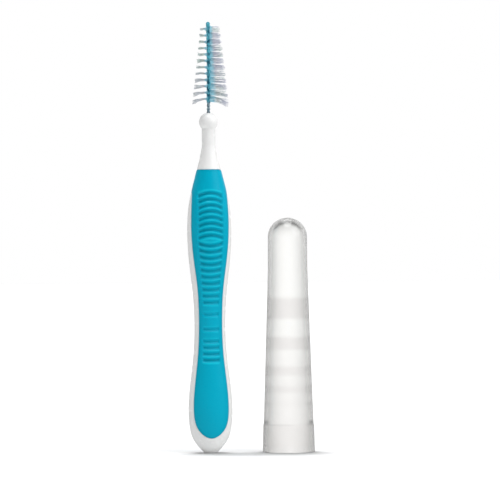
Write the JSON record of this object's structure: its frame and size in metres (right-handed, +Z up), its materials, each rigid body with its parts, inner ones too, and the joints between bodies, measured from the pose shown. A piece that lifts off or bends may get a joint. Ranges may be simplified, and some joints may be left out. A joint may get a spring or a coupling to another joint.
{
  "type": "interdental brush",
  "caption": "Interdental brush: tapered bristles on a twisted wire, slim handle with a ribbed rubber grip, and its clear protective cap standing beside it.",
  "frame": {"origin": "centre of the flat of the handle's foot, on the surface that the brush and its cap stand on", "axes": "+Z up along the brush to the wire's tip, +X towards the cap, -Y the front of the grip"},
  "size_m": [0.0228, 0.0094, 0.0775],
  "materials": {
    "white_plastic": "gloss",
    "teal_rubber": "satin",
    "coated_wire": "coated",
    "nylon": "satin",
    "clear_plastic": "clear and frosted bands"
  },
  "bodies": {
    "handle": {"handle_core": "white_plastic", "rubber_grip": "teal_rubber"},
    "brush_head": {"twisted_wire": "coated_wire", "bristle_row_01": "nylon", "bristle_row_02": "nylon", "bristle_row_03": "nylon", "bristle_row_04": "nylon", "bristle_row_05": "nylon", "bristle_row_06": "nylon", "bristle_row_07": "nylon", "bristle_row_08": "nylon", "bristle_row_09": "nylon", "bristle_row_10": "nylon", "bristle_row_11": "nylon", "bristle_row_12": "nylon"},
    "cap": {"cap": "clear_plastic"}
  },
  "joints": [
    {"name": "wire_bend", "type": "hinge", "parent": "handle", "child": "brush_head", "pos_m": [0, 0, 0.0619], "axis": [0, 1, 0], "range_deg": [-45, 45], "deforming": ["twisted_wire"]},
    {"name": "cap_lift", "type": "slide", "parent": "handle", "child": "cap", "axis": [0, 0, 1], "range_m": [0, 0.08]}
  ]
}
